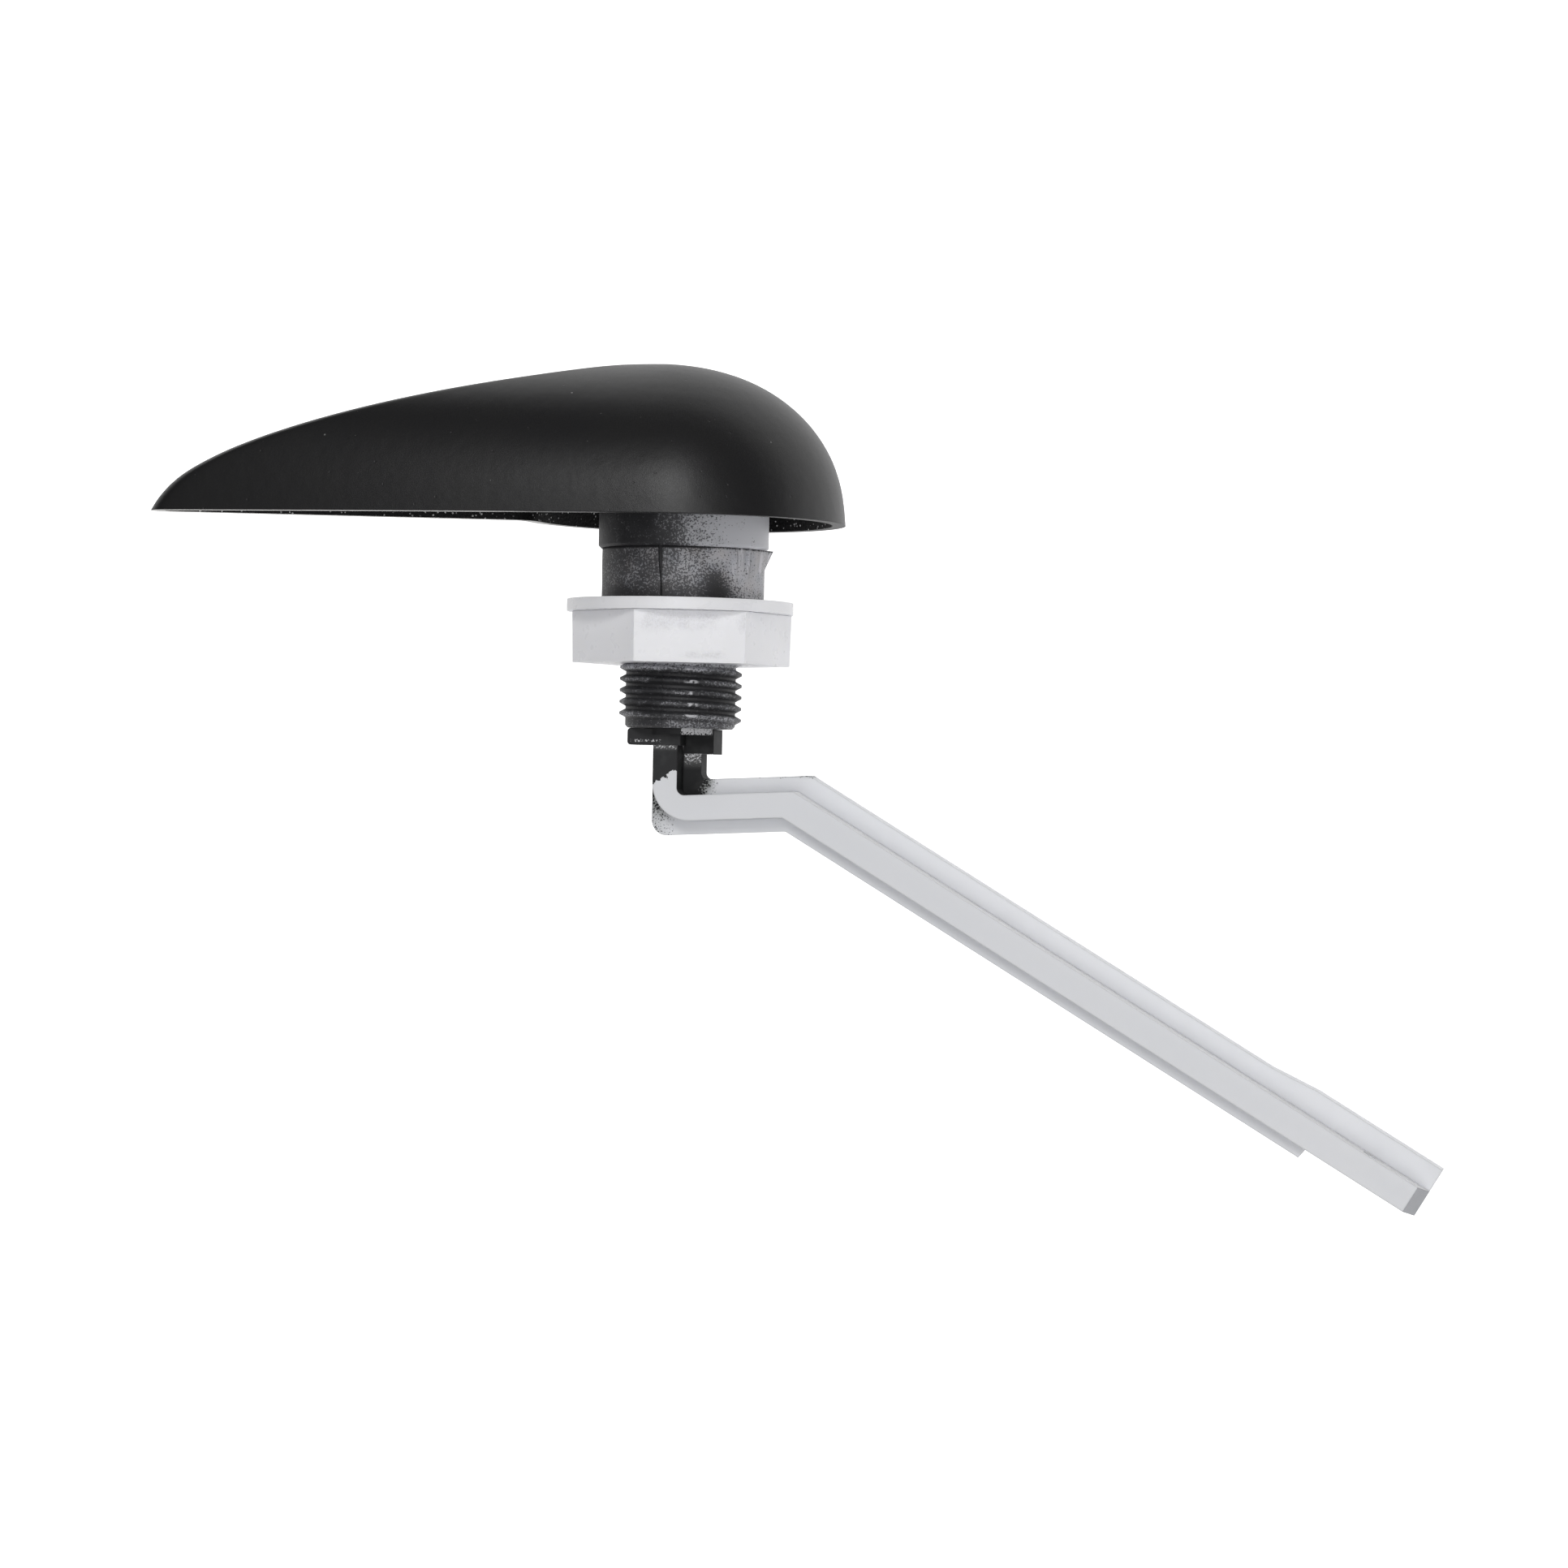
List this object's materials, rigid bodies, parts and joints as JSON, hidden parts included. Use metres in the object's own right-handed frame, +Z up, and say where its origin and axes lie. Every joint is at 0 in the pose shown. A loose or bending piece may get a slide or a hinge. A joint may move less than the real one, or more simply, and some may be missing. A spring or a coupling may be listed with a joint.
{
  "type": "toilet tank trip lever",
  "caption": "Side-to-side toilet tank trip lever: hollow comma-shaped paddle handle, bushing with left-hand threaded shank, washer and hex nut, and a bent T-section lift arm.",
  "frame": {"origin": "on the spindle's axis, in the plane of the spigot's shoulder that seats against the outside of the tank wall", "axes": "+Y along the spindle into the tank, -Y out to the handle, +X towards the tip of the handle's paddle, +Z up with the lever at rest"},
  "size_m": [0.1674, 0.1076, 0.0429],
  "materials": {
    "black_paint": "matte black paint over a casting",
    "screw_steel": "plain steel",
    "spring_steel": "drawn spring wire",
    "bushing_plastic": "grey moulded plastic with black paint overspray",
    "wrap_film": "thin grey film, speckled with overspray",
    "nut_plastic": "natural nylon, slightly translucent",
    "white_plastic": "white moulded plastic, satin"
  },
  "bodies": {
    "bushing": {"mounting_bushing": "bushing_plastic", "spigot_wrap": "wrap_film", "return_spring": "spring_steel", "thrust_washer": "white_plastic"},
    "lever": {"handle_shell": "black_paint", "handle_set_screw": "screw_steel", "lever_arm": "white_plastic"},
    "washer": {"nut_washer": "nut_plastic"},
    "nut": {"lock_nut": "nut_plastic"}
  },
  "joints": [
    {"name": "lever_turn", "type": "hinge", "parent": "bushing", "child": "lever", "pos_m": [0, 0, 0], "axis": [0, 1, 0], "range_deg": [0, 35], "stiffness_Nm_per_rad": 0.03, "springref_deg": -17.19, "deforming": ["return_spring"]},
    {"name": "nut_travel", "type": "slide", "parent": "bushing", "child": "washer", "axis": [0, 1, 0], "range_m": [0, 0.008]},
    {"name": "nut_spin", "type": "hinge", "parent": "washer", "child": "nut", "pos_m": [0, 0, 0], "axis": [0, 1, 0], "range_deg": [-1925, 5]}
  ],
  "couplings": [
    {"joint": "nut_spin", "follows": "nut_travel", "rad_per_m": -4188.8}
  ]
}
